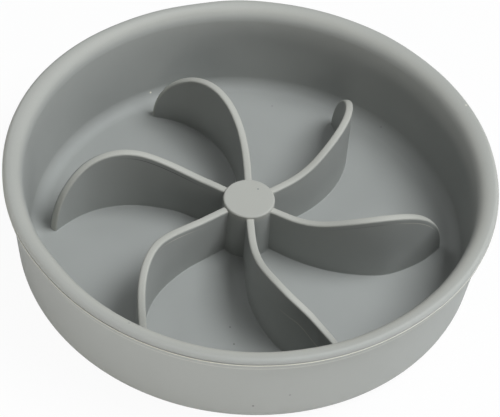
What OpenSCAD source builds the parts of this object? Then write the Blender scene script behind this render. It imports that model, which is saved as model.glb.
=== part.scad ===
// Slow feeder bowl: a low round bowl moulded in one piece of grey silicone.
// Six curved vanes stand on the floor round a centre post, so that food lies in the channels between them.
// The origin is at the middle of the face that the bowl stands on, +Z is up,
// and the first vane leaves the post along +Y.

/* [Bowl] */
// Widest diameter, over the moulding ridge on the rim
bowl_d = 200; // [160:1:220]
// Height from the table to the top of the rim
bowl_h = 46; // [42:1:60]

/* [Foot] */
// Radius of the round between the outer wall and the underside
foot_round = 9; // [4:0.5:12]
// Width of the ring that the bowl stands on, inside the wall
foot_ring_w = 8; // [4:0.5:14]
// Height of that ring, which is also the depth of the hollow under the floor
foot_ring_h = 1; // [0.5:0.1:2]
// Bevel along the inner edge of that ring
foot_ring_bevel = 0.6; // [0.2:0.1:1.5]

/* [Floor] */
// Thickness of the floor
floor_t = 3; // [1.5:0.1:4]
// Radius of the round between the floor and the inside of the wall
floor_fillet = 6; // [4:0.5:10]

/* [Wall] */
// Lean of the inside of the wall, in degrees from upright
wall_in_draft = 4.5; // [1:0.5:8]
// Lean of the outside of the wall, in degrees from upright
wall_out_draft = 6.7; // [4:0.1:8]
// How far the wall stands in from the rim's lower edge
wall_step = 1.8; // [1:0.1:2.5]
// Radius of the hollow round under the rim
wall_cove = 0.6; // [0.3:0.1:0.8]

/* [Rim] */
// Width of the rim, from the moulding ridge to the inside of the wall
rim_w = 8.5; // [7.5:0.5:12]
// Distance from the moulding ridge in to the highest line of the rim
crown_in = 2; // [1.5:0.5:5]
// Height of the rim's top over the moulding ridge
crown_h = 2.5; // [1:0.5:4]
// Depth over which the rim's top rolls down into the inside of the wall
shoulder_h = 7; // [6:0.5:12]
// Height of the rim's edge below the moulding ridge
lip_h = 3; // [2:0.1:4.5]
// How far the lower edge of the rim stands in from its widest place
lip_in = 0.5; // [0.3:0.1:1.2]
// Radius of the round on that lower edge
lip_round = 0.8; // [0.3:0.1:1]
// How far the moulding ridge stands out
ridge_out = 0.2; // [0.1:0.05:0.25]
// Height of the moulding ridge
ridge_t = 0.5; // [0.2:0.1:0.8]

/* [Centre post] */
// Diameter of the post at its top
post_d = 21.2; // [16:0.1:30]
// Height of the post over the floor
post_h = 24; // [20:0.5:30]
// Lean of the post's side, in degrees from upright
post_draft = 1; // [0.5:0.5:3]
// Radius of the round on the post's top edge
post_round = 0.8; // [0.3:0.1:1.4]

/* [Vanes] */
// Number of vanes
vane_count = 6; // [4:1:8]
// Thickness of a vane along its rounded top edge
vane_t = 3.2; // [1.8:0.1:4]
// Thickness of a vane where it meets the floor
vane_foot_t = 3.4; // [2.4:0.1:5]
// How far a vane's top edge starts below the top of the post
vane_drop = 1.1; // [1:0.1:4]
// Height of a vane's highest place over the floor
vane_crest_h = 31.8; // [26:0.1:36]
// Length of the level stretch of the top edge beside the post
vane_level = 8; // [3:0.5:12]
// Length of the rounded nose, along the vane from its highest place to its tip
vane_nose = 31; // [20:0.5:40]
// Length of the straight stretch of a vane beside the post
vane_straight = 15; // [5:0.5:25]
// How far a vane turns from the post to its tip, in degrees
vane_turn = 75; // [45:1:95]
// Clear floor between a vane's tip and the start of the wall's inner round
vane_tip_gap = 3.3; // [1:0.1:10]
// Direction in which the first vane leaves the post, in degrees
vane_first = 90; // [0:1:180]

/* [Hidden] */
$fn = 180;
silicone = [0.62, 0.64, 0.62];
silicone_inside = [0.58, 0.60, 0.60];
vane_names = [for (k = [1:vane_count]) str("vane_", k)];

// How far below level, on the inside round, the wall is cut from its foot, in degrees
seam_turn = 30;

// Steps along each round of an outline, over a vane's top edge (an even number), along its rise and its nose
arc_steps = 8;
edge_steps = 10;
rise_steps = 26;
nose_steps = 20;

// Heights of the floor, the moulding ridge, the rim's lower edge and the end of the rim's roll
widest_r = bowl_d / 2;
floor_z = foot_ring_h + floor_t;
ridge_z = bowl_h - crown_h;
lip_z = ridge_z - lip_h;
crown_r = widest_r - crown_in;
shoulder_w = rim_w - crown_in;
shoulder_z = bowl_h - shoulder_h;

// The rim's roll is a quarter of an oval; it ends where it leans as the wall does
roll_end = atan2(shoulder_w, shoulder_h * tan(wall_in_draft));
roll_seam = acos((lip_z - shoulder_z) / shoulder_h);
inner_top = oval(crown_r, shoulder_z, -shoulder_w, shoulder_h, 90 - roll_end);

// Inside face of the leaning wall at a height, and the round tangent to it and to the floor
function wall_in(z) = inner_top[0] - (inner_top[1] - z) * tan(wall_in_draft);
fillet_z = floor_z + floor_fillet;
fillet_r = wall_in(fillet_z) - floor_fillet / cos(wall_in_draft);
floor_r = fillet_r;

// Outside face of the wall at a height, the hollow round tangent to it and to the underside of the rim,
// and the round tangent to it and to the underside of the bowl
lip_r = widest_r - lip_in;
wall_top_r = lip_r - wall_step;
function wall_out(z) = wall_top_r - (lip_z - z) * tan(wall_out_draft);
cove_r = wall_out(lip_z - wall_cove) + wall_cove / cos(wall_out_draft);
foot_r = wall_out(foot_round) - foot_round / cos(wall_out_draft);
body_r = widest_r - ridge_out;

// Post and vanes
post_r = post_d / 2;
vane_root_h = post_h - vane_drop;
vane_start = post_r + vane_straight;
vane_end_r = floor_r - vane_tip_gap;

// Radius of the vane's bend, from the turn and from how far out the tip lies
bend_c = 1 - cos(vane_turn);
bend_s = vane_start * sin(vane_turn);
bend_r = (sqrt(bend_s * bend_s + 2 * bend_c * (vane_end_r * vane_end_r - vane_start * vane_start)) - bend_s)
    / (2 * bend_c);
vane_len = vane_straight + bend_r * vane_turn * PI / 180;
crest_s = vane_len - vane_nose;

// A point of an oval about [r, z], and a run of them
function oval(r, z, rx, rz, a) = [r + rx * cos(a), z + rz * sin(a)];
function run(r, z, rx, rz, from, to) = [
    for (i = [0:arc_steps]) oval(r, z, rx, rz, from + (to - from) * i / arc_steps)
];

// Roll of the rim's inside, where 0 is the top of the rim and 90 is upright
function roll(from, to) = [
    for (i = [0:arc_steps])
        let (a = from + (to - from) * i / arc_steps)
        [crown_r - shoulder_w * sin(a), shoulder_z + shoulder_h * cos(a)]
];

module rim() {
    color(silicone) rotate_extrude() polygon(concat(
        roll(roll_seam, 0),
        run(crown_r, ridge_z, body_r - crown_r, crown_h, 90, asin(ridge_t / crown_h / 2)),
        [[widest_r, ridge_z], [body_r, ridge_z - ridge_t / 2]],
        run(lip_r - lip_round, lip_z + lip_round, lip_round, lip_round, 0, -90)
    ));
}

module side_wall() {
    color(silicone) rotate_extrude() polygon(concat(
        [oval(foot_r, foot_round, foot_round, foot_round, -wall_out_draft)],
        run(cove_r, lip_z - wall_cove, wall_cove, wall_cove, 180 - wall_out_draft, 90),
        roll(roll_seam, roll_end),
        run(fillet_r, fillet_z, floor_fillet, floor_fillet, -wall_in_draft, -seam_turn)
    ));
}

// Corner where the wall turns into the floor inside and into the underside outside; its joint with the wall
// runs from the cut on the inside round to the end of the outside round
module wall_foot() {
    color(silicone) rotate_extrude() polygon(concat(
        [[floor_r, 0]],
        run(foot_r, foot_round, foot_round, foot_round, -90, -wall_out_draft),
        run(fillet_r, fillet_z, floor_fillet, floor_fillet, -seam_turn, -90)
    ));
}

module floor_disc() {
    color(silicone_inside) translate([0, 0, foot_ring_h]) cylinder(r = floor_r, h = floor_t);
}

module foot_ring() {
    inner_r = floor_r - foot_ring_w;
    color(silicone) rotate_extrude() polygon([
        [inner_r + foot_ring_bevel, 0],
        [floor_r, 0],
        [floor_r, foot_ring_h],
        [inner_r, foot_ring_h],
        [inner_r, foot_ring_bevel]
    ]);
}

// Radius of the post's side at a height over the floor
function post_side(h) = post_r + (post_h - h) * tan(post_draft);

module centre_post() {
    color(silicone) translate([0, 0, floor_z]) rotate_extrude() polygon(concat(
        [[0, 0], [post_side(0), 0]],
        run(post_r - post_round, post_h - post_round, post_round, post_round, 0, 90),
        [[0, post_h]]
    ));
}

// A vane is worked out flat, in distance s along it and height h over the floor, and then bent to its plan.
// Place on the floor of a point that lies s along the vane and w to its left
function bend_at(s) = max(0, s - vane_straight) / bend_r * 180 / PI;
function plan(s, w) = let (a = bend_at(s)) [
    post_r + min(s, vane_straight) + (bend_r - w) * sin(a),
    w * cos(a) + bend_r * (1 - cos(a))
];

// Half of the thickness at a height over the floor
function half_t(h) = (vane_t + (vane_foot_t - vane_t) * (1 - h / vane_crest_h)) / 2;

// Stations along the top edge: [s, h, lean of the edge's outward normal from upright]
rise_l = crest_s - vane_level;
rise_h = vane_crest_h - vane_root_h;
function rise(s) = let (a = 180 * max(0, s - vane_level) / rise_l)
    [s, vane_root_h + rise_h * (1 - cos(a)) / 2, -atan(rise_h * PI / rise_l * sin(a) / 2)];
function nose(a) = [crest_s + vane_nose * sin(a), vane_crest_h * cos(a), atan2(sin(a) / vane_nose, cos(a) / vane_crest_h)];
stations = concat(
    [for (i = [0:rise_steps - 1]) rise(crest_s * i / rise_steps)],
    [for (i = [0:nose_steps]) nose(90 * i / nose_steps)]
);
last = len(stations) - 1;

// A point of the rounded edge at station e, from one side over the top to the other
function edge_point(e, i) = let (
    t = half_t(e[1]),
    a = 90 - 180 * i / edge_steps,
    back = t * (1 - cos(a)),
    p = plan(e[0] - back * sin(e[2]), t * sin(a))
) [p[0], p[1], max(0, e[1] - back * cos(e[2]))];
function foot_point(e, side) = let (
    t = half_t(e[1]),
    p = plan(e[0] - t * sin(e[2]), side * half_t(0))
) [p[0], p[1], 0];

// One ring of points: the foot, the edge, the foot; the first ring lies on the post's side
function ring(e) = concat(
    [foot_point(e, 1)],
    [for (i = [0:edge_steps]) edge_point(e, i)],
    [foot_point(e, -1)]
);
function on_post(p) = [sqrt(pow(post_side(p[2]), 2) - p[1] * p[1]), p[1], p[2]];
ring_n = edge_steps + 3;
tip_ring = [for (i = [0:edge_steps]) edge_point(stations[last], i)];
vane_points = concat(
    [for (p = ring(stations[0])) on_post(p)],
    [for (j = [1:last - 1]) each ring(stations[j])],
    tip_ring
);

// Skin between the rings, the face on the post, the foot and the tip
tip_0 = last * ring_n;
near = (last - 1) * ring_n;
vane_faces = concat(
    [for (j = [0:last - 2]) for (i = [0:ring_n - 1])
        let (a = j * ring_n + i, b = j * ring_n + (i + 1) % ring_n)
        each [[b, a, a + ring_n], [b + ring_n, b, a + ring_n]]],
    [for (i = [0:(edge_steps + 1) / 2]) let (a = i, b = ring_n - 1 - i)
        each (b - a > 2 ? [[b, a, a + 1], [b - 1, b, a + 1]] : [[b, a, a + 1]])],
    [for (i = [0:edge_steps - 1]) let (a = near + 1 + i, b = tip_0 + i)
        each [[a + 1, a, b], [b + 1, a + 1, b]]],
    [
        [near + 1, near, tip_0],
        [near + ring_n - 1, near + ring_n - 2, tip_0 + edge_steps],
        [tip_0, near, near + ring_n - 1],
        [tip_0 + edge_steps, tip_0, near + ring_n - 1],
        [for (i = [0:edge_steps]) tip_0 + i]
    ]
);

module vane(k) {
    color(silicone_inside) translate([0, 0, floor_z])
        rotate([0, 0, vane_first + (k - 1) * 360 / vane_count])
            polyhedron(points = vane_points, faces = vane_faces, convexity = 6);
}

rim();
side_wall();
wall_foot();
floor_disc();  // floor
foot_ring();
centre_post();
for (k = [1:vane_count]) vane(k);
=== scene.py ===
# %% [markdown]
# # A slow feeder bowl in matte silicone
# The bowl is one moulding of grey silicone rubber: a rolled rim, a leaning wall, a flat floor, and
# six curved vanes round a post. The CAD model has the same regions as separate solids, in this same
# frame and in metres. Here each of them gets a finer mesh in its place, with the small things that
# a mould leaves behind, and then the finish, the light and the camera. This first cell loads the
# CAD model.

# %% The frame
import math

import bmesh
import bpy
from mathutils import Matrix, Vector


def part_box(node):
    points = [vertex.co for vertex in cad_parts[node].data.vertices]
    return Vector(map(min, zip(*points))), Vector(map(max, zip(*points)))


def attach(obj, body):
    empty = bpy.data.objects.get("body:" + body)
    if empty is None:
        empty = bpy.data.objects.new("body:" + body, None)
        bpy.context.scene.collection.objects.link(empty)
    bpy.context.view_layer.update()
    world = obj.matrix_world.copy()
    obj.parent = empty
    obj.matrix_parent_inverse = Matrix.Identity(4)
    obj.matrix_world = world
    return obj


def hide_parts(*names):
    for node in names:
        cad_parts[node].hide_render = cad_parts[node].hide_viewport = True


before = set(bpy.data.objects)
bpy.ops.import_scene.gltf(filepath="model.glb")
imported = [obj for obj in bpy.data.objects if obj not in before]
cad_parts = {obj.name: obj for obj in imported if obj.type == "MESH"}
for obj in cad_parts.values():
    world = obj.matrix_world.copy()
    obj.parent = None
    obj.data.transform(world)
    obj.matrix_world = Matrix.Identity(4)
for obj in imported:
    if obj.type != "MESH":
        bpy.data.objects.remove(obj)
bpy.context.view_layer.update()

print("CAD nodes:", ", ".join(sorted(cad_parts)))

# %% [markdown]
# ## Sizes
# The large sizes are read off the CAD nodes, so that every mesh lands where its solid is. The
# shape between them follows from a few more sizes, which have the same names and values as in the
# CAD source. A mould's walls lean a little, so that the rubber pulls free: that lean is the
# draft.

# %% Sizes from the frame
mm = 0.001
widest_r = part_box("rim")[1].x
bowl_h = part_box("rim")[1].z
lip_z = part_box("rim")[0].z
floor_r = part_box("floor")[1].x
floor_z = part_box("floor")[1].z
under_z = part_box("floor")[0].z
post_top_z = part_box("centre_post")[1].z
crest_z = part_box("vane_1")[1].z
print(f"{2 * widest_r / mm:.1f} mm across, {bowl_h / mm:.1f} mm high")

# %% Sizes of the section
rim_w = 8.5 * mm
crown_in = 2 * mm
crown_h = 2.5 * mm
shoulder_h = 7 * mm
ridge_out = 0.2 * mm
ridge_t = 0.5 * mm
lip_in = 0.5 * mm
lip_round = 0.8 * mm
wall_step = 1.8 * mm
wall_cove = 0.6 * mm
wall_in_draft = math.radians(4.5)
wall_out_draft = math.radians(6.7)
floor_fillet = 6 * mm
foot_round = 9 * mm
seam_turn = math.radians(30)
foot_ring_w = 8 * mm
foot_ring_bevel = 0.6 * mm

ridge_z = bowl_h - crown_h
crown_r = widest_r - crown_in
body_r = widest_r - ridge_out
shoulder_w = rim_w - crown_in
shoulder_z = bowl_h - shoulder_h
lip_r = widest_r - lip_in
wall_top_r = lip_r - wall_step
fillet_z = floor_z + floor_fillet
print(f"crown from {crown_r / mm:.1f} to {widest_r / mm:.1f} mm, ridge at {ridge_z / mm:.2f} mm")


# %% [markdown]
# ## Outlines, and a lathe for them
# Apart from the vanes, the bowl is a body of revolution: half of its section, turned once round
# the axis. Blender's Screw modifier could do the turning. A short function in mesh code gives
# more: it closes the solid, shades the rounds smoothly and marks as sharp only those circles
# where the outline has a corner.

# %% Outline helpers
def spread(start, end, steps):
    """Even values from start to end, with both ends."""
    return [start + (end - start) * i / steps for i in range(steps + 1)]


def oval(r, z, wide, high, start, end, steps):
    """Points along part of an oval about (r, z); the angles run from outward to up."""
    return [(r + wide * math.cos(a), z + high * math.sin(a)) for a in spread(start, end, steps)]


def straight(start, end, steps):
    """Points along a straight stretch, without its ends."""
    return [
        (start[0] + (end[0] - start[0]) * t, start[1] + (end[1] - start[1]) * t)
        for t in spread(0, 1, steps)[1:-1]
    ]


def wall_out(z):
    """Radius of the leaning outside of the wall at a height."""
    return wall_top_r - (lip_z - z) * math.tan(wall_out_draft)


def clamp(value):
    """The value held between 0 and 1."""
    return max(0, min(1, value))


def between(places, values, s):
    """The value at s, on a smooth curve through the values that belong to the places."""
    last = len(places) - 1
    k = max(0, min(last - 1, sum(place <= s for place in places) - 1))
    t = clamp((s - places[k]) / (places[k + 1] - places[k]))
    start, end = values[k], values[k + 1]
    slope = (end - values[max(0, k - 1)]) / 2
    next_slope = (values[min(last, k + 2)] - start) / 2
    bend = 3 * (end - start) - 2 * slope - next_slope
    twist = 2 * (start - end) + slope + next_slope
    return start + t * (slope + t * (bend + t * twist))


up, down, level = math.pi / 2, -math.pi / 2, 0

# %% [markdown]
# Soft rubber never comes out of the mould quite round. Here the rim stands up to about a
# millimetre in or out, most at the top and not at all at the foot. A modifier could bend the
# finished bowl, but a small table by direction says exactly where, and the inside and the outside
# of the rim can differ. The one passes into the other over four millimetres of the rim's width.

# %% Out of round
STRAY = 0.1 * mm
STRAY_AT = range(0, 361, 10)
STRAY_FROM, STRAY_OVER = 5 * mm, 4 * mm
outside_stray = (
    0, 2, 2, 1, -1, 0, -2, -3, -4, -3, -10, -8, -6, 0, 5, 8, 7, 3, -1,
    -1, -2, -8, -7, -5, -3, -1, 0, -3, -5, -7, -9, -8, -4, -1, 0, 0, 0,
)
inside_stray = (
    0, 0, 0, 0, 0, 0, 0, 0, 0, 0, 0, 0, 0, 0, 0, 0, 0, 0, 0,
    -2, -4, -12, -9, -6, -4, -2, 0, -2, -5, -4, -6, -5, -3, -1, 2, 1, 0,
)


def out_of_round(place):
    """How far a place of the wall or the rim stands out from its true circle."""
    turn = math.degrees(math.atan2(place.y, place.x)) % 360
    across = clamp((place.xy.length - wall_out(place.z) + STRAY_FROM) / STRAY_OVER)
    lift = clamp((place.z - foot_round) / (lip_z - foot_round))
    inside, outside = (between(STRAY_AT, table, turn) for table in (inside_stray, outside_stray))
    return STRAY * lift * lift * (3 - 2 * lift) * (inside + across * (outside - inside))


farthest = [end(outside_stray) * STRAY / mm for end in (min, max)]
print("the rim strays from {:.1f} to {:.1f} mm outside".format(*farthest))

# %% [markdown]
# The lathe itself takes the outline round the axis. Each vertex may carry a value of painted light
# and shade, which the material reads later, and may be moved by the out-of-round table.

# %% The lathe
AROUND = 240
SHARP = math.radians(35)
AXIS = 1e-7


def ring_of(build, radius, z, around):
    """One circle of vertices, or a single vertex on the axis."""
    count = 1 if radius < AXIS else around
    turn = math.tau / count
    return [
        build.verts.new((radius * math.cos(i * turn), radius * math.sin(i * turn), z))
        for i in range(count)
    ]


def skin(build, ring, after):
    """Faces between two rings, either of which may be a single vertex."""
    count = max(len(ring), len(after))
    if count == 1:
        return
    for i in range(count):
        j = (i + 1) % count
        here = [ring[i % len(ring)], ring[j % len(ring)]]
        there = [after[j % len(after)], after[i % len(after)]]
        build.faces.new(list(dict.fromkeys(here + there)))


def to_piece(name, build):
    """Turns mesh code's work into an object: normals outward, rounds smooth, corners sharp."""
    bmesh.ops.recalc_face_normals(build, faces=build.faces)
    for face in build.faces:
        face.smooth = True
    for edge in build.edges:
        edge.smooth = edge.calc_face_angle(0) < SHARP
    mesh = bpy.data.meshes.new(name)
    build.to_mesh(mesh)
    build.free()
    piece = bpy.data.objects.new(name, mesh)
    bpy.context.scene.collection.objects.link(piece)
    weighted = piece.modifiers.new("even shading", "WEIGHTED_NORMAL")
    weighted.keep_sharp = True
    return piece


def nothing(place):
    """No painted light and no stray anywhere."""
    return 0


def lathe(name, outline, around=AROUND, marks_and_painted_light=nothing, stray=nothing):
    """The solid that a closed outline of (radius, height) points makes, turned about the axis."""
    build = bmesh.new()
    lines_and_painted_light = build.verts.layers.float.new("lines_and_painted_light")
    rings = [ring_of(build, r, z, around) for r, z in outline]
    for ring, after in zip(rings, rings[1:] + rings[:1]):
        skin(build, ring, after)
    for vert in build.verts:
        vert[lines_and_painted_light] = marks_and_painted_light(vert.co)
        out = stray(vert.co)
        vert.co.xy *= 1 + out / max(AXIS, vert.co.xy.length)
    piece = to_piece(name, build)
    print(f"{name}: {len(outline)} points turned, {len(piece.data.polygons)} faces")
    return piece


pieces = {}

# %% [markdown]
# ## The rim
# The rim is rolled: its top is a broad soft round that runs down into the inside of the wall with
# no edge. Outside, at the widest place, the two halves of the mould met, and left a fine groove
# with a raised thread of rubber under it. Below that thread the rim ends in a short lip. All of
# this is one outline, so it is turned in one go, and the groove and the thread are real geometry,
# because they catch the light.

# %% Rim outline
ROLL_STEPS, CROWN_STEPS, LIP_STEPS, LIP_SIDE_STEPS = 24, 22, 8, 4
groove_w = 0.4 * mm
groove_in = 0.4 * mm
lip_edge = (lip_r - lip_round, lip_z + lip_round)
roll_seam = math.acos((lip_z - shoulder_z) / shoulder_h)
groove_top_z = ridge_z + ridge_t / 2 + groove_w
crown_end = math.asin((groove_top_z - ridge_z) / crown_h)


def roll(start, end, steps):
    """Points down the rim's inner roll, where 0 is its top and a right angle is upright."""
    return [
        (crown_r - shoulder_w * math.sin(a), shoulder_z + shoulder_h * math.cos(a))
        for a in spread(start, end, steps)
    ]


rim_outline = [
    *roll(roll_seam, 0, ROLL_STEPS)[:-1],
    *oval(crown_r, ridge_z, body_r - crown_r, crown_h, up, crown_end, CROWN_STEPS),
    (body_r - groove_in, groove_top_z - groove_w / 2),
    (body_r - groove_in / 2, ridge_z + ridge_t / 2),
    (widest_r - ridge_out / 3, ridge_z + ridge_t / 3),
    (widest_r, ridge_z),
    (body_r, ridge_z - ridge_t / 2),
    *straight((body_r, ridge_z - ridge_t / 2), (lip_r, lip_edge[1]), LIP_SIDE_STEPS),
    *oval(*lip_edge, lip_round, lip_round, level, down, LIP_STEPS),
]
print(f"groove {groove_w / mm:.1f} mm wide, its top at {groove_top_z / mm:.2f} mm")

# %% [markdown]
# The rim's top is painted paler, as painted light. At the front, on the side toward the camera, its
# inner part is painted paler still and its outer part darker: painted light and painted shade. The
# thread is painted palest, a painted highlight, most toward the front, and the lip's lower edge is
# painted pale too, a painted highlight. The groove is painted dark, a painted shadow, most on the
# front left. The value is one number for each vertex: above zero paler, below zero darker. An image
# could hold it too, but a value on the vertices follows the thread and the groove exactly.

# %% Painted light on the rim
# Painted light and highlights make the rim's top, thread and lip paler; painted shade makes the
# groove darker.
TOP_PAINTED_LIGHT, LIP_PAINTED_HIGHLIGHT, THREAD_PAINTED_HIGHLIGHT = 0.85, 1.0, 2
OUTER_PAINTED_SHADE, INNER_PAINTED_LIGHT, INNER_WIDE = 0.85, 0.9, 2.6
GROOVE_PAINTED_SHADE, GROOVE_LEAST, GROOVE_PART = 4.5, 0.1, 0.9
THREAD_LOW, THREAD_HIGH = -0.2, 0.4
LIP_PART = 1 / 8
fade_below, fade_over = 2 * mm, 3 * mm
front_way, thread_way, groove_way = (math.radians(a) for a in (270, 245, 215))


def rim_painted_light(place):
    """Painted light on the rim's top, painted highlights on its thread and its lip, and painted
    shade in the groove.
    """
    turn = math.atan2(place.y, place.x)
    out = (place.xy.length - crown_r) / mm
    front = max(0, math.cos(turn - front_way))
    # At the front the inner part of the top is painted paler and the outer part darker: painted
    # light and shade.
    front_painted_shading = -OUTER_PAINTED_SHADE * out if out > 0 else INNER_PAINTED_LIGHT * clamp(-out / INNER_WIDE)
    top = (TOP_PAINTED_LIGHT + front_painted_shading * front) * clamp((place.z - ridge_z + fade_below) / fade_over)
    if out < 0:
        return top
    # The thread is painted pale: a painted highlight, strongest toward the front.
    if THREAD_LOW * ridge_t < place.z - ridge_z < THREAD_HIGH * ridge_t:
        return THREAD_PAINTED_HIGHLIGHT * (1 + math.cos(turn - thread_way))
    # The groove is painted dark: painted shade, strongest on the front left.
    if 0 < place.z - ridge_z - ridge_t / 2 < groove_w * GROOVE_PART:
        return top - GROOVE_PAINTED_SHADE * max(GROOVE_LEAST, math.cos(turn - groove_way))
    # The lip's lower edge is painted pale: a painted highlight.
    if place.z < lip_edge[1] + lip_round * LIP_PART:
        return LIP_PAINTED_HIGHLIGHT
    return top


# %% Rim
pieces["rim"] = lathe("rim", rim_outline, marks_and_painted_light=rim_painted_light, stray=out_of_round)

# %% [markdown]
# ## The wall and its foot
# Inside, the wall leans out by its draft and runs into the floor with a large round, which leaves
# no corner for food to stick in. Outside it is set in a little under the lip and ends in a large
# round at the foot. The wall and its foot are two pieces that meet on shared circles, so that no
# line shows between them.

# %% Where the wall runs
ROLL_IN_WALL = 8
roll_end = math.atan2(shoulder_w, shoulder_h * math.tan(wall_in_draft))
wall_roll = roll(roll_seam, roll_end, ROLL_IN_WALL)
inner_top = wall_roll[-1]
inner_foot_r = inner_top[0] - (inner_top[1] - fillet_z) * math.tan(wall_in_draft)
fillet_r = inner_foot_r - floor_fillet / math.cos(wall_in_draft)
foot_r = wall_out(foot_round) - foot_round / math.cos(wall_out_draft)
cove_z = lip_z - wall_cove
cove_r = wall_out(cove_z) + wall_cove / math.cos(wall_out_draft)
print(f"inner round ends {(fillet_r - floor_r) / mm:.3f} mm from the floor's edge")

# %% Side wall
WALL_STEPS, COVE_STEPS, FOOT_STEPS = 10, 8, 28
FILLET_IN_WALL, FILLET_IN_FOOT = 9, 20
fillet = (fillet_r, fillet_z, floor_fillet, floor_fillet)
inside_round = oval(*fillet, -wall_in_draft, -seam_turn, FILLET_IN_WALL)
outside_round = oval(foot_r, foot_round, foot_round, foot_round, down, -wall_out_draft, FOOT_STEPS)
cove = oval(cove_r, cove_z, wall_cove, wall_cove, math.pi - wall_out_draft, up, COVE_STEPS)
wall_outline = [
    outside_round[-1],
    *straight(outside_round[-1], cove[0], WALL_STEPS),
    *cove,
    *wall_roll,
    *straight(inner_top, inside_round[0], WALL_STEPS),
    *inside_round,
]
pieces["side_wall"] = lathe("side_wall", wall_outline, stray=out_of_round)
print(f"wall {(cove[0][0] - inner_top[0]) / mm:.1f} mm thick at the top")

# %% Wall foot
foot_outline = [
    (floor_r, 0),
    *outside_round,
    *oval(*fillet, -seam_turn, down, FILLET_IN_FOOT),
]
pieces["wall_foot"] = lathe("wall_foot", foot_outline)

# %% [markdown]
# ## The floor and the ring that it stands on
# The floor is a plain thick disc. Under its edge lies a low flat ring, so that the bowl stands on
# a ring and not on its whole underside. A few extra circles in the floor keep its faces well
# shaped.

# %% Floor of the bowl
UNDER_STEPS, FLOOR_STEPS = 6, 12
floor_outline = [
    (0, under_z),
    *straight((0, under_z), (floor_r, under_z), UNDER_STEPS),
    (floor_r, under_z),
    (floor_r, floor_z),
    *straight((floor_r, floor_z), (0, floor_z), FLOOR_STEPS),
    (0, floor_z),
]
pieces["floor"] = lathe("floor", floor_outline)

# %% Foot ring
BEVEL_STEPS = 6
ring_in = floor_r - foot_ring_w
bevel = (ring_in + foot_ring_bevel, foot_ring_bevel, foot_ring_bevel, foot_ring_bevel)
ring_outline = [
    *oval(*bevel, math.pi, math.pi * 3 / 2, BEVEL_STEPS),
    (floor_r, 0),
    (floor_r, under_z),
    (ring_in, under_z),
]
pieces["foot_ring"] = lathe("foot_ring", ring_outline)

# %% [markdown]
# ## The post
# The post leans inward by its draft and has a flat top with a small round on its edge. Where it
# leaves the floor the mould has a tiny round too, which takes the hardness off the dark line at
# its foot.

# %% Post
post_r = 10.6 * mm
post_draft = math.radians(1)
post_round = 0.8 * mm
root_fillet = 0.35 * mm
post_h = post_top_z - floor_z


def post_side(h):
    """Radius of the post's side at a height over the floor."""
    return post_r + (post_h - h) * math.tan(post_draft)


ROOT_STEPS, POST_STEPS, POST_TOP_STEPS, POST_AROUND = 6, 8, 5, 120
# The post's top is painted paler: painted light.
POST_PAINTED_LIGHT = 1.4
post_fade = 1.5 * mm
post_foot = post_side(root_fillet) + root_fillet
side_top = (post_r, post_top_z - post_round)
side_end = (post_side(root_fillet), floor_z + root_fillet)
post_outline = [
    (0, floor_z),
    *oval(post_foot, side_end[1], root_fillet, root_fillet, math.pi * 3 / 2, math.pi, ROOT_STEPS),
    *straight(side_end, side_top, POST_STEPS),
    *oval(post_r - post_round, side_top[1], post_round, post_round, level, up, POST_STEPS),
    *straight((post_r - post_round, post_top_z), (0, post_top_z), POST_TOP_STEPS),
    (0, post_top_z),
]


def post_painted_light(place):
    """Painted light on the post's top, which is made paler."""
    return POST_PAINTED_LIGHT * clamp((place.z - post_top_z + post_fade) / mm)


pieces["centre_post"] = lathe("centre_post", post_outline, POST_AROUND, post_painted_light)

# %% [markdown]
# ## The vanes
# Each vane is a thin upright blade. It runs straight out of the post, then bends to the left as
# seen from above, and its top edge starts level, swells to a crest and drops to the floor in a
# quarter of an oval. A curve with a bevel could make a rod of this kind but not a blade that
# grows with the height. So the blade is swept in mesh code: stations along the top edge, and at
# each station a section that goes up one side, over the round edge and down the other side.

# %% Vane sizes
VANES = 6
vane_t = 3.2 * mm
vane_foot_t = 3.4 * mm
vane_drop = 1.1 * mm
vane_level = 8 * mm
vane_nose = 31 * mm
vane_straight = 15 * mm
vane_turn = math.radians(75)
vane_tip_gap = 3.3 * mm
vane_first = math.radians(90)

crest_h = crest_z - floor_z
root_h = post_h - vane_drop
start_r = post_r + vane_straight
end_r = floor_r - vane_tip_gap
bend_c = 1 - math.cos(vane_turn)
bend_s = start_r * math.sin(vane_turn)
bend_r = (math.sqrt(bend_s**2 + 2 * bend_c * (end_r**2 - start_r**2)) - bend_s) / (2 * bend_c)
vane_len = vane_straight + bend_r * vane_turn
crest_s = vane_len - vane_nose
print(f"vane {vane_len / mm:.1f} mm long, crest {crest_s / mm:.1f} mm out")


# %% Vane path
root_blend = 3 * mm


def heading(s):
    """Direction of the vane at a distance along it, from the way in which it left the post."""
    return max(0, s - vane_straight) / bend_r


def half_t(h):
    """Half of the vane's thickness at a height over the floor."""
    return (vane_t + (vane_foot_t - vane_t) * (1 - h / crest_h)) / 2


def on_plan(s, side, h, sway):
    """The place s along the vane, side to its left and h over the floor."""
    a = heading(s)
    foot, lean = sway
    side += between(SWAY_AT, foot, s) * SWAY + between(SWAY_AT, lean, s) * SWAY * h / crest_h
    x = post_r + min(s, vane_straight) + (bend_r - side) * math.sin(a)
    y = side * math.cos(a) + bend_r * (1 - math.cos(a))
    if s < root_blend:
        x += (1 - s / root_blend) * (math.sqrt(post_side(h) ** 2 - y * y) - post_r)
    return Vector((x, y, floor_z + h))


# %% [markdown]
# Thin soft blades never stand quite alike. On the real bowl each of the six wanders sideways by
# up to a millimetre and a half at its foot, and leans by up to two at its top. Noise would do for
# a bowl seen from far off, but a table of sideways steps along each vane is as short, and each
# vane gets its own.

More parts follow.
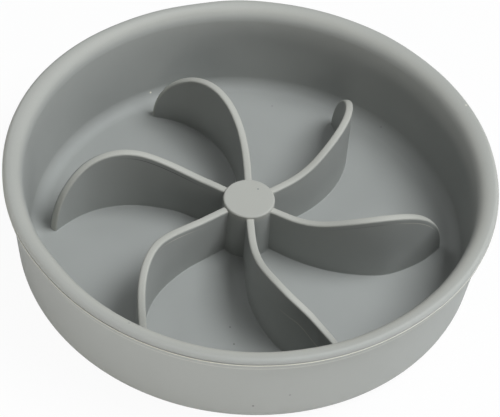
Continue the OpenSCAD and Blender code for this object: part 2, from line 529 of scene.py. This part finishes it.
# %% Sway
SWAY = 0.1 * mm
SWAY_AT = [s * mm for s in (0, 10, 20, 30, 40, 50, 60, 68, 77.5)]
sways = {
    "vane_1": ((0, 0, -2, -6, -9, -12, -12, -7, 1), (-7, -9, 0, 7, 10, 12, 13, 13, 0)),
    "vane_2": ((-4, -8, -9, -6, -9, -9, -7, -2, 3), (-4, -3, 6, 7, 8, 7, 4, 4, 0)),
    "vane_3": ((-8, -2, 3, 5, 1, 0, 0, 0, 0), (2, -3, 3, 6, 6, 4, 1, 0, 0)),
    "vane_4": ((0, 0, 0, -3, -10, -16, -15, -12, -7), (-3, -1, 6, 6, 8, 7, 3, -9, -9)),
    "vane_5": ((9, 3, 4, 2, -5, -15, -10, -6, 2), (-14, -5, 0, 5, 10, 20, 18, 15, 0)),
    "vane_6": ((2, 0, 3, 4, 3, 3, 5, 10, 13), (-5, 2, 6, 7, 3, -1, -1, -4, 0)),
}
for name, (foot, lean) in sways.items():
    most = max(abs(step) for step in foot + lean)
    print(f"{name} sways by up to {most * SWAY / mm:.1f} mm")

# %% [markdown]
# The stations are the places where a section will stand. They crowd together near the post, where
# the small round runs, and follow the nose by its angle, so that the steep tip gets as many as it
# needs.

# %% Stations along a vane
def rise(s):
    """Station on the rising edge: distance, height, lean of the edge, flare at the post."""
    a = math.pi * max(0, s - vane_level) / (crest_s - vane_level)
    swell = crest_h - root_h
    slope = swell * math.pi / (crest_s - vane_level) * math.sin(a) / 2
    flare = 0
    if s < root_fillet:
        flare = root_fillet - math.sqrt(root_fillet**2 - (root_fillet - s) ** 2)
    return s, root_h + swell * (1 - math.cos(a)) / 2, -math.atan(slope), flare


def nose(a):
    """Station on the nose, from the crest at 0 to the tip at a right angle."""
    lean = math.atan2(math.sin(a) / vane_nose, math.cos(a) / crest_h)
    return crest_s + vane_nose * math.sin(a), crest_h * math.cos(a), lean, 0


nose_end = math.acos(root_fillet / crest_h)
RISE_STEPS, NOSE_STEPS = 54, 40
near_post = [root_fillet * (1 - math.cos(a)) for a in spread(0, up, ROOT_STEPS)]
stations = [rise(s) for s in near_post[:-1] + spread(root_fillet, crest_s, RISE_STEPS)[:-1]]
stations += [nose(a) for a in spread(0, nose_end, NOSE_STEPS)]
print(f"{len(stations)} stations on each vane")

# %% [markdown]
# A section is a list of points, each with how far along the vane it lies, how far to the left, how
# high, and how much paler or darker it is painted. Just under the round edge the two inserts of the
# mould met. Along their seam a hairline is painted on some of the vanes, pale as a painted
# highlight or dark as painted shade, so three close rows of points follow it, of which the middle
# one carries the line. Three more such rows lie further down, for the faint line that the flowing
# rubber left on the front vane. Each row of the seam is given by its depth, by the most that this
# may be as a share of a low section, and by whether it carries the line.

# %% Rows of a section
LOW_STEPS, HIGH_STEPS, EDGE_STEPS = 5, 3, 16
PLAIN_TOP = 0.88
SEAM_ROWS = ((1.8 * mm, 0.105, 0), (1.5 * mm, 0.095, 1), (1.2 * mm, 0.085, 0))
SIDE_ROWS = (LOW_STEPS + 1) + 1 + (HIGH_STEPS + 1) + len(SEAM_ROWS)
print(f"{2 * SIDE_ROWS + EDGE_STEPS + 1} points in each section")

# %% [markdown]
# How strong each line is, at ten distances along the vane: the painted line along the seam of each
# vane, the flow line and how high it runs, and painted shade on the far side of one vane's edge.
# Like the sway, these are given for this one bowl.

# %% Lines on the vanes
SEAM_AT = [s * mm for s in (0, 14, 20, 28, 37, 44, 52, 58, 68, 75)]
# Along each seam, values above zero are a painted highlight and values below zero are painted
# shade.
seam_painted_lines = {
    "vane_1": (0, 0, 0, 0.2, 0.4, 0.4, 0.2, 0, 0, 0),
    "vane_2": (0, -1.4, -3.2, -3.4, -2.9, -0.6, 0, 0, 0, 0),
    "vane_3": (0, 0.3, 2.4, 3.8, 1.0, 0, 0, 0, 0, 0),
    "vane_4": (0, 0, 0, 0.2, 0.2, 0, 0, 0, 0, 0),
    "vane_5": (0, 0, 0, -0.5, -1.2, -1.5, 0.4, 2.6, 3.4, 0.6),
    "vane_6": (0, 0, 0.1, 0.3, 0.3, 0, 0, 0, 0, 0),
}
BLANK = (0,) * len(SEAM_AT)
FLOW_HALF = 0.02
FLOW_UP = (0.65, 0.65, 0.65, 0.65, 0.65, 0.68, 0.71, 0.72, 0.56, 0.5)
flows = {"vane_4": (0, 0, 0, 0, 0, 0, 1.5, 2.2, 2.2, 0)}
# The far side of vane_2's top edge is painted darker: painted shade.
edge_painted_shade = {"vane_2": (0, 0, 0, 0, 0, 0, -2, -6, -8, -5)}
print(len(seam_painted_lines), "seams,", len(flows), "flow line,", len(edge_painted_shade), "dirty edge")

# %% [markdown]
# The top edge is rounder than a half circle would be: its sides bend over late and its top is
# nearly flat. A power of the sine and the cosine below one gives that form.

# %% Section of a vane
EDGE_POWER = 2 / 3
# The vanes' top edges are painted paler: painted light.
EDGE_PAINTED_LIGHT, EDGE_FADE, DARKEST_EDGE_SHADE = 1.6, 1.5, -4
edge_depth = 1.15 * mm


def section(station, name):
    """Points of one section, up the vane's left side, over its edge and down its right side."""
    s, h, lean, flare = station
    t = half_t(h)
    foot_s = s - edge_depth * math.sin(lean)
    edge_h = max(root_fillet, h - edge_depth * math.cos(lean))
    tall = edge_h - root_fillet
    seam = between(SEAM_AT, seam_painted_lines[name], s)
    far_edge_shade = between(SEAM_AT, edge_painted_shade.get(name, BLANK), s)
    flow = between(SEAM_AT, flows.get(name, BLANK), s)
    flow_up = between(SEAM_AT, FLOW_UP, s)
    rows = [(k, 0) for k in spread(0, flow_up - FLOW_HALF, LOW_STEPS)] + [(flow_up, flow)]
    rows += [(k, 0) for k in spread(flow_up + FLOW_HALF, PLAIN_TOP, HIGH_STEPS)]
    for depth, most, on in SEAM_ROWS:
        rows.append((1 - min(depth / max(depth, tall), most), seam * on))
    points = []
    for k, lines_and_painted_light in rows:
        z = root_fillet + tall * k
        side = half_t(0) + (t - half_t(0)) * (z / max(edge_h, z)) + flare
        points.append((foot_s, side, z, lines_and_painted_light))
    for a in spread(up, down, EDGE_STEPS):
        out = math.copysign(abs(math.sin(a)) ** EDGE_POWER, a)
        back = edge_depth - (edge_depth + flare) * math.cos(a) ** EDGE_POWER
        z = max(root_fillet, h - back * math.cos(lean))
        # On vane_2 the far side of the top edge is painted darker as well: painted shade.
        lines_and_painted_light = EDGE_PAINTED_LIGHT * min(1, EDGE_FADE * math.cos(a)) + far_edge_shade * max(0, -math.sin(a)) ** 2
        points.append((s - back * math.sin(lean), (t + flare) * out, z, max(DARKEST_EDGE_SHADE, lines_and_painted_light)))
    right = [(along, -side, z, lines_and_painted_light) for along, side, z, lines_and_painted_light in points[:SIDE_ROWS]]
    return points + right[::-1]


# %% [markdown]
# Neighbouring rows of points are joined by strips of four-sided faces. The loop under the vane is
# closed the same way, straight across, so that no face there has more than four corners.

# %% Strips of faces
def strip(build, row, after):
    """Faces between two rows of as many vertices."""
    for i in range(len(row) - 1):
        build.faces.new([row[i], row[i + 1], after[i + 1], after[i]])


def close(build, row):
    """Faces across a loop whose vertices lie in pairs, the first opposite the last."""
    half = len(row) // 2
    strip(build, row[:half], row[::-1][:half])
    if len(row) % 2:
        build.faces.new(row[half - 1 : half + 2])


# %% [markdown]
# A blade that met the floor at a hard corner would look cut out of card. The mould has a small
# round there, so the lowest row of points is led outward and down in a quarter circle, along both
# sides and round the tip.

# %% Foot of a vane
FILLET_STEPS = 5


def foot_rows(rows):
    """Rows of points from the lowest ones of the blade down to the floor, along the small round."""
    first = [(row[0], (0, 1)) for row in rows[:-1]]
    ways = [(math.cos(a), math.sin(a)) for a in spread(up, down, EDGE_STEPS)]
    arc = list(zip(rows[-1][SIDE_ROWS:-SIDE_ROWS], ways))
    back = [(row[-1], (0, -1)) for row in rows[-2::-1]]
    loop = first + arc + back
    made = []
    for a in spread(0, up, FILLET_STEPS)[1:]:
        out = root_fillet * (1 - math.cos(a))
        z = root_fillet * (1 - math.sin(a))
        made.append([(p[0] + ahead * out, p[1] + left * out, z, 0) for p, (ahead, left) in loop])
    return made


# %% [markdown]
# One vane puts it together: the grid of its sections, the tip where the nose reaches the floor,
# the small round at its foot, and the two faces that close it, below and at the post.

# %% One vane
def vane(name, direction):
    """One vane, turned to the direction in which it leaves the post."""
    rows = [section(station, name) for station in stations]
    turn = Matrix.Rotation(direction, 3, "Z")
    build = bmesh.new()
    lines_and_painted_light = build.verts.layers.float.new("lines_and_painted_light")

    def vertex(point):
        made = build.verts.new(turn @ on_plan(*point[:3], sways[name]))
        made[lines_and_painted_light] = point[3]
        return made

    grid = [[vertex(p) for p in row] for row in rows[:-1]]
    tip = [vertex(p) for p in rows[-1][SIDE_ROWS:-SIDE_ROWS]]
    for row, after in zip(grid, grid[1:]):
        strip(build, row, after)
    strip(build, grid[-1][SIDE_ROWS:-SIDE_ROWS], tip)
    lower = [row[0] for row in grid] + tip + [row[-1] for row in grid[::-1]]
    last = grid[-1]
    build.faces.new([*last[: SIDE_ROWS + 1], tip[0]])
    build.faces.new([*last[-SIDE_ROWS - 1 :], tip[-1]][::-1])
    skirt = []
    for points in foot_rows(rows):
        below = [vertex(p) for p in points]
        strip(build, lower, below)
        skirt.append(below)
        lower = below
    close(build, lower)
    close(build, [row[0] for row in skirt[::-1]] + grid[0] + [row[-1] for row in skirt])
    piece = to_piece(name, build)
    print(f"{name}: {len(piece.data.polygons)} faces")
    return piece


# %% Six vanes
for k in range(VANES):
    name = f"vane_{k + 1}"
    pieces[name] = vane(name, vane_first + k * math.tau / VANES)

# %% [markdown]
# ## Where each piece belongs
# Every piece stands for the CAD node of its name and moves with the bowl's one body. The suffix
# keeps Blender from clashing with the hidden node's name.

# %% Pieces and nodes
for node, piece in pieces.items():
    piece.name = f"{node}_skin"
    piece.data.name = piece.name
    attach(piece, "root")
    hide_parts(node)
print(len(pieces), "pieces in place")


# %% [markdown]
# ## Shader maths as Python
# A shader is a graph of nodes, and a formula in it soon takes a dozen of them. The small class
# below wraps the output of a node, so that Python's own signs add the Math nodes: `1 - mask` is a
# real expression here.

# %% A class for sockets
class Wire:
    """The output of a node, or nothing yet, in one material's tree."""

    def __init__(self, tree, socket=None):
        self.tree = tree
        self.socket = socket

    def node(self, kind, settings=(), sockets=(), output=0):
        """Adds a node of any type: first its settings, then values or links for its sockets."""
        made = self.tree.nodes.new(kind)
        for key, value in dict(settings).items():
            setattr(made, key, value)
        for key, value in dict(sockets).items():
            if isinstance(value, Wire):
                self.tree.links.new(value.socket, made.inputs[key])
            else:
                made.inputs[key].default_value = value
        return Wire(self.tree, made.outputs[output])

    def maths(self, operation, *values):
        """A Math node; 0, 1 and 2 are its sockets in order."""
        return self.node("ShaderNodeMath", {"operation": operation}, dict(enumerate(values)))

    def __add__(self, other):
        return self.maths("ADD", self, other)

    def __sub__(self, other):
        return self.maths("SUBTRACT", self, other)

    def __rsub__(self, other):
        return self.maths("SUBTRACT", other, self)

    def __mul__(self, other):
        return self.maths("MULTIPLY", self, other)

    __radd__ = __add__
    __rmul__ = __mul__

    def ramp(self, low, high):
        """0 below low, 1 above high, and a soft step between them."""
        sockets = {"Value": self, "From Min": low, "From Max": high}
        return self.node("ShaderNodeMapRange", {"interpolation_type": "SMOOTHSTEP"}, sockets)

    def vector(self, operation, sockets, output="Vector"):
        """A Vector Math node, for colours and places."""
        return self.node("ShaderNodeVectorMath", {"operation": operation}, sockets, output)


# %% [markdown]
# ## The silicone
# Matte silicone scatters light widely and has no colour of its own but the pigment: here a
# neutral grey. Close up it is never flat. The pigment clouds a little over a few centimetres, the
# mould's blasted surface leaves a fine grain, and dust clings to it. So the base colour, the
# roughness and a bump get that cloud and grain, all from the place in metres, which runs on
# across the joints between pieces.

# %% Cloudy values
NOISE_DETAIL = 2.0


def noise_at(place, size):
    """A cloudy value of about 0 to 1, whose clouds measure size across."""
    sockets = {"Vector": place, "Scale": 1 / size, "Detail": NOISE_DETAIL}
    return place.node("ShaderNodeTexNoise", (), sockets)


cloud_size, grain_size, wave_size = 30 * mm, 0.5 * mm, 14 * mm
print(f"clouds {cloud_size / mm:.0f} mm across, grain {grain_size / mm:.1f} mm")

# %% [markdown]
# A used bowl has a few specks: crumbs of dust, and small dark pits. Each one is a place, a radius
# and an amount of pale (above zero) or dark (below zero), and the material adds them to the painted
# light and shade that the vertices carry.

# %% Specks
SPECKS = [
    ((-0.0361, 0.0810, 0.0076), 0.6 * mm, 5),
    ((0.0040, 0.0050, 0.0280), 0.55 * mm, -3),
    ((0.0168, 0.0760, 0.0040), 0.5 * mm, -1.5),
    ((0.0629, 0.0611, 0.0060), 0.5 * mm, -1.5),
    ((-0.0094, -0.0480, 0.0040), 0.5 * mm, -2.4),
    ((-0.0084, -0.0568, 0.0040), 0.5 * mm, -2.6),
    ((-0.0039, -0.0943, 0.0123), 0.6 * mm, -3.2),
    ((0.0099, -0.0946, 0.0192), 0.6 * mm, -2.0),
    ((-0.0522, -0.0794, 0.0454), 0.6 * mm, -1.5),
    ((0.0916, 0.0349, 0.0460), 0.7 * mm, 2.5),
]
print(len(SPECKS), "specks")

# %% [markdown]
# A value above zero adds a pale tint to the pigment: painted light on the tops and edges, painted
# highlights on the thread and the seams, and the pale dust specks and the flow line. A value below
# zero takes away a share of the colour instead, so that it stays grey however dark it gets: painted
# shade in the groove, on some seams and on one vane's edge, and the dark pits.

# %% Silicone in numbers
GREY = (0.358, 0.368, 0.352)
# This tint is added for painted light and highlights and for pale dust; the share below darkens for
# painted shade and for dark pits.
DUST_AND_PAINTED_LIGHT_TINT = (0.081, 0.074, 0.056)
DIRT_AND_PAINTED_SHADE = 0.2
TONE, TONE_CLOUD, TONE_GRAIN = 0.94, 0.08, 0.04
VERTEX_VALUE_GAIN, VERTEX_VALUE_GRAIN = 0.85, 0.3
SPECK_CORE = 0.4
ROUGH, ROUGH_CLOUD, ROUGH_GRAIN = 0.5, 0.1, 0.06
SHINE = 0.35
wave_h, grain_h = 0.12 * mm, 0.006 * mm
print(f"roughness {ROUGH} to {ROUGH + ROUGH_CLOUD + ROUGH_GRAIN:.2f}")


# %% Silicone
def silicone(name):
    """The bowl's rubber, with the painted light and shade on its vertices and the specks."""
    material = bpy.data.materials.new(name)
    material.use_nodes = True
    tree = material.node_tree
    shader = tree.nodes["Principled BSDF"]
    place = Wire(tree).node("ShaderNodeTexCoord", output="Object")

    cloud = noise_at(place, cloud_size)
    grain = noise_at(place, grain_size)
    # This value on the vertices is painted light and shade, with the flow line.
    lines_and_painted_light = place.node("ShaderNodeAttribute", {"attribute_name": "lines_and_painted_light"}, output="Fac")
    tone = TONE + cloud * TONE_CLOUD + grain * TONE_GRAIN
    marks_and_painted_light = lines_and_painted_light * (VERTEX_VALUE_GAIN + grain * VERTEX_VALUE_GRAIN)
    for spot, radius, amount in SPECKS:
        off = place.vector("DISTANCE", {0: place, 1: spot}, "Value")
        marks_and_painted_light = marks_and_painted_light + (1 - off.ramp(radius * SPECK_CORE, radius)) * amount
    pale = marks_and_painted_light.maths("MAXIMUM", marks_and_painted_light, 0)
    tone = tone * (1 + marks_and_painted_light.maths("MINIMUM", marks_and_painted_light, 0) * DIRT_AND_PAINTED_SHADE)
    pigment = tone.vector("SCALE", {0: GREY, "Scale": tone})
    pale_tint = pale.vector("SCALE", {0: DUST_AND_PAINTED_LIGHT_TINT, "Scale": pale})
    base = pigment.vector("ADD", {0: pigment, 1: pale_tint})
    rough = ROUGH + cloud * ROUGH_CLOUD + grain * ROUGH_GRAIN
    height = noise_at(place, wave_size) * wave_h + grain * grain_h
    bump = height.node("ShaderNodeBump", (), {"Height": height, "Strength": 1.0, "Distance": 1.0})

    tree.links.new(base.socket, shader.inputs["Base Color"])
    tree.links.new(rough.socket, shader.inputs["Roughness"])
    tree.links.new(bump.socket, shader.inputs["Normal"])
    shader.inputs["Specular IOR Level"].default_value = SHINE
    return material


rubber = silicone("grey_silicone")
for piece in pieces.values():
    piece.data.materials.append(rubber)
print(rubber.name, "has", len(rubber.node_tree.nodes), "nodes")

# %% [markdown]
# ## The floor under the bowl
# The bowl stands on a wide sheet of white paper. In a studio that sheet is lit until it is pure
# white, which would throw too much light up at the bowl here. So the camera sees mostly a white
# glow in place of the paper, and a little of the paper itself, which is enough to keep the bowl's
# soft shadow. All other rays see plain paper.

# %% Sheet
HALF_SHEET = 3.0
sheet = bmesh.new()
bmesh.ops.create_grid(sheet, x_segments=1, y_segments=1, size=HALF_SHEET)
ground_mesh = bpy.data.meshes.new("ground")
sheet.to_mesh(ground_mesh)
sheet.free()
ground = bpy.data.objects.new("ground", ground_mesh)
bpy.context.scene.collection.objects.link(ground)
print(f"paper {2 * HALF_SHEET:.0f} m square")

# %% Paper
GLOW_SHARE = 0.95
PAPER, PAPER_ROUGH = (0.8, 0.8, 0.8, 1), 0.9
white = bpy.data.materials.new("white_paper")
white.use_nodes = True
shader = white.node_tree.nodes["Principled BSDF"]
shader.inputs["Base Color"].default_value = PAPER
shader.inputs["Roughness"].default_value = PAPER_ROUGH
paper = Wire(white.node_tree, shader.outputs["BSDF"])
seen = paper.node("ShaderNodeLightPath", output="Is Camera Ray")
glow = paper.node("ShaderNodeEmission")
both = paper.node("ShaderNodeMixShader", (), {0: seen * GLOW_SHARE, 1: paper, 2: glow})
surface = white.node_tree.nodes["Material Output"].inputs["Surface"]
white.node_tree.links.new(both.socket, surface)
ground_mesh.materials.append(white)
print(f"{GLOW_SHARE:.0%} of the paper's look is glow")

# %% [markdown]
# ## The light
# The real picture has one broad soft light from above and a little to the right, and much weaker
# light from all round. The world gives the least of it. The lamps are rectangles of area light,
# like softboxes; four low strips light the outer wall, which the key light from above can't
# reach.

# %% World
WORLD_STRENGTH = 0.03
world = bpy.data.worlds.new("studio")
bpy.context.scene.world = world
world.use_nodes = True
sky = world.node_tree.nodes["Background"]
sky.inputs["Color"].default_value = (1, 1, 1, 1)
sky.inputs["Strength"].default_value = WORLD_STRENGTH
print("world strength", WORLD_STRENGTH)


# %% Lamps
def softbox(name, wide, high, power, azimuth, elevation, distance, colour):
    """A rectangular area lamp that looks at the bowl."""
    lamp = bpy.data.lights.new(name, "AREA")
    lamp.shape = "RECTANGLE"
    lamp.size = wide
    lamp.size_y = high
    lamp.energy = power
    lamp.color = colour
    holder = bpy.data.objects.new(name, lamp)
    bpy.context.scene.collection.objects.link(holder)
    a, e = math.radians(azimuth), math.radians(elevation)
    back = Vector((math.cos(a) * math.cos(e), math.sin(a) * math.cos(e), math.sin(e)))
    holder.location = back * distance
    holder.rotation_euler = back.to_track_quat("Z", "Y").to_euler()
    print(f"{name}: {power} W from {azimuth} degrees, {elevation} up")


FAR, NEAR = 1.5, 1.1
cool = (0.97, 1.0, 1.03)
warm = (1.02, 1.0, 0.965)
softbox("key", 0.95, 0.7, 18.9, 350, 61, FAR, cool)
softbox("top", 0.5, 0.5, 1.9, 0, 90, FAR, cool)
softbox("fill", 0.5, 0.5, 2.0, 150, 54, FAR, cool)
softbox("right", 0.6, 0.5, 2.4, 0, 18, FAR, cool)
softbox("front", 0.6, 0.5, 1.95, 270, 18, FAR, warm)
for azimuth, power in ((180, 1.2), (225, 3.75), (270, 0.65), (315, 2.15)):
    softbox(f"strip_{azimuth}", 0.75, 0.13, power, azimuth, 4, NEAR, warm)

# %% [markdown]
# ## Camera
# The picture was taken from well above and from far off, which keeps the rim nearly an ellipse.
# The camera's place was found by fitting the bowl's own circles and vanes to the picture, and so
# was its slight roll. It is set as two angles, a distance and how far off the middle it aims,
# because those were fitted. The focal length was fitted in pixels of a picture 500 pixels wide.

# %% Where the camera looks
camera_azimuth = math.radians(262.02)
camera_elevation = math.radians(47.63)
camera_roll = math.radians(5.48)
camera_distance = 1.0044
aim_height = 30 * mm
aim_right = 0.23 * mm
aim_up = -5.58 * mm

flat = Vector((math.cos(camera_azimuth), math.sin(camera_azimuth), 0))
back = flat * math.cos(camera_elevation) + Vector((0, 0, math.sin(camera_elevation)))
right = Vector((0, 0, 1)).cross(back).normalized()
over = back.cross(right)
tilted_right = right * math.cos(camera_roll) + over * math.sin(camera_roll)
tilted_up = over * math.cos(camera_roll) - right * math.sin(camera_roll)
aim = Vector((0, 0, aim_height))
print(f"looks down by {math.degrees(camera_elevation):.1f} degrees")

# %% Camera
SENSOR = 36
FOCAL_PIXELS, PICTURE_PIXELS = 2470.85, 500
lens = bpy.data.cameras.new("camera")
lens.sensor_width = SENSOR
lens.lens = FOCAL_PIXELS * SENSOR / PICTURE_PIXELS
camera = bpy.data.objects.new("camera", lens)
bpy.context.scene.collection.objects.link(camera)
camera.location = back * camera_distance + aim + tilted_right * aim_right + tilted_up * aim_up
camera.rotation_mode = "QUATERNION"
axes = Matrix((tilted_right, tilted_up, back)).transposed()
camera.rotation_quaternion = axes.to_quaternion()
bpy.context.scene.camera = camera
bpy.context.scene.view_settings.view_transform = "Standard"
print(f"camera {camera.location.length:.3f} m from the origin, lens {lens.lens:.0f} mm")
